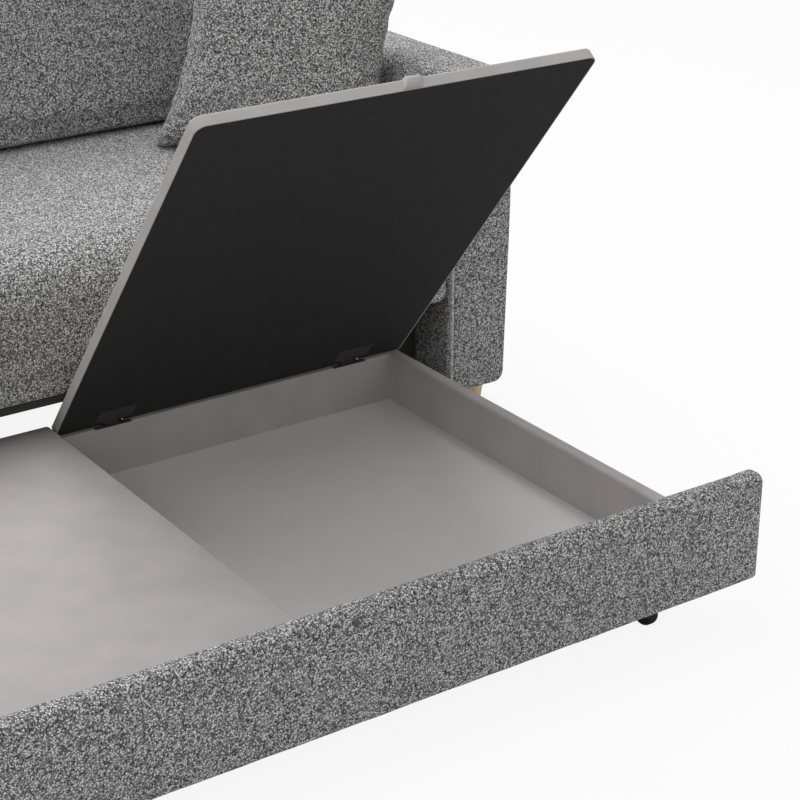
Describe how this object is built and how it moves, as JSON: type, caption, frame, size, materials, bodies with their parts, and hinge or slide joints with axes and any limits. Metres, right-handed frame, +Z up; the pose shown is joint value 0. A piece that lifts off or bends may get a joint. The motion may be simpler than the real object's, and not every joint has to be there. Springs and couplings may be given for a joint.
{
  "type": "storage sofa bed",
  "caption": "Upholstered loveseat with block arms, loose cushions and a pull-out storage box on castors under its seat, shown out with one hinged lid raised.",
  "frame": {"origin": "on the floor, midway along the whole length and the whole depth with the box pulled out", "axes": "+X to the sitter's left-hand side as seen from the front, which is the right of the picture; +Y towards the back; +Z up"},
  "size_m": [1.7806, 1.71, 0.8604],
  "materials": {
    "beech": "clear varnished beech",
    "black_cloth": "black cloth over board",
    "black_lining": "thin black woven lining",
    "black_steel": "black lacquer",
    "boucle": "looped bouclé cloth over foam",
    "boucle_box": "cloth wrapped over board",
    "box_floor_board": "grey faced fibre board",
    "castor_plastic": "black moulded",
    "particle_board": "raw particle board",
    "pine": "planed pine and plywood",
    "webbing": "elastic webbing",
    "zinc_steel": "zinc plated"
  },
  "bodies": {
    "sofa": {"left_arm_frame": "pine", "left_arm_upholstery": "boucle", "right_arm_frame": "pine", "right_arm_upholstery": "boucle", "back_frame": "pine", "back_upholstery": "boucle", "seat_front_rail": "pine", "seat_rear_rail": "pine", "seat_side_rails": "pine", "seat_centre_rail": "pine", "seat_webbing": "webbing", "seat_upholstery": "boucle", "seat_base_board": "black_cloth", "left_runner_rail": "black_cloth", "right_runner_rail": "black_cloth", "rear_skirt": "black_cloth", "leg_plates": "zinc_steel", "leg_screws": "zinc_steel", "frame_bolts": "zinc_steel", "leg_front_left": "beech", "leg_front_right": "beech", "leg_rear_left": "beech", "leg_rear_right": "beech"},
    "drawer": {"panel_board": "particle_board", "panel_upholstery": "boucle", "box_front_wall": "boucle_box", "box_rear_wall": "boucle_box", "box_left_wall": "boucle_box", "box_right_wall": "boucle_box", "box_divider": "boucle_box", "left_floor_panel": "box_floor_board", "right_floor_panel": "box_floor_board", "box_screws": "zinc_steel", "panel_screws": "zinc_steel", "castor_axles": "zinc_steel", "castor_screws": "zinc_steel", "hinge_brackets": "black_steel", "hinge_pins": "black_steel", "castor_bracket_front_left": "black_steel", "castor_bracket_front_right": "black_steel", "castor_bracket_rear_left": "black_steel", "castor_bracket_rear_right": "black_steel"},
    "right_lid": {"right_lid_board": "particle_board", "right_lid_cover": "boucle_box", "right_lid_lining": "black_lining", "right_lid_tab": "boucle_box", "right_hinge_leaves": "black_steel"},
    "left_lid": {"left_lid_board": "particle_board", "left_lid_cover": "boucle_box", "left_lid_lining": "black_lining", "left_lid_tab": "boucle_box", "left_hinge_leaves": "black_steel"},
    "left_back_cushion": {"left_back_cushion": "boucle"},
    "right_back_cushion": {"right_back_cushion": "boucle"},
    "throw_pillow": {"throw_pillow": "boucle"},
    "wheel_front_left": {"castor_wheel_front_left": "castor_plastic"},
    "wheel_front_right": {"castor_wheel_front_right": "castor_plastic"},
    "wheel_rear_left": {"castor_wheel_rear_left": "castor_plastic"},
    "wheel_rear_right": {"castor_wheel_rear_right": "castor_plastic"}
  },
  "joints": [
    {"name": "drawer_slide", "type": "slide", "parent": "sofa", "child": "drawer", "axis": [0, -1, 0], "range_m": [0, 0.15]},
    {"name": "right_lid_hinge", "type": "hinge", "parent": "drawer", "child": "right_lid", "pos_m": [0.3, -0.005, 0.155], "axis": [1, 0, 0], "range_deg": [0, 50.8]},
    {"name": "left_lid_hinge", "type": "hinge", "parent": "drawer", "child": "left_lid", "pos_m": [-0.3, -0.005, 0.155], "axis": [-1, 0, 0], "range_deg": [0, 50.8]},
    {"name": "wheel_front_left_roll", "type": "hinge", "parent": "drawer", "child": "wheel_front_left", "pos_m": [-0.5585, -0.802, 0.019], "axis": [1, 0, 0], "continuous": true},
    {"name": "wheel_front_right_roll", "type": "hinge", "parent": "drawer", "child": "wheel_front_right", "pos_m": [0.5585, -0.802, 0.019], "axis": [1, 0, 0], "continuous": true},
    {"name": "wheel_rear_left_roll", "type": "hinge", "parent": "drawer", "child": "wheel_rear_left", "pos_m": [-0.5585, -0.056, 0.019], "axis": [1, 0, 0], "continuous": true},
    {"name": "wheel_rear_right_roll", "type": "hinge", "parent": "drawer", "child": "wheel_rear_right", "pos_m": [0.5585, -0.056, 0.019], "axis": [1, 0, 0], "continuous": true},
    {"name": "left_back_cushion_lift", "type": "slide", "parent": "sofa", "child": "left_back_cushion", "axis": [0, 0.1736, 0.9848], "range_m": [0, 0.25]},
    {"name": "right_back_cushion_lift", "type": "slide", "parent": "sofa", "child": "right_back_cushion", "axis": [0, 0.1736, 0.9848], "range_m": [0, 0.25]},
    {"name": "throw_pillow_lift", "type": "slide", "parent": "sofa", "child": "throw_pillow", "axis": [0, 0, 1], "range_m": [0, 0.25]}
  ]
}
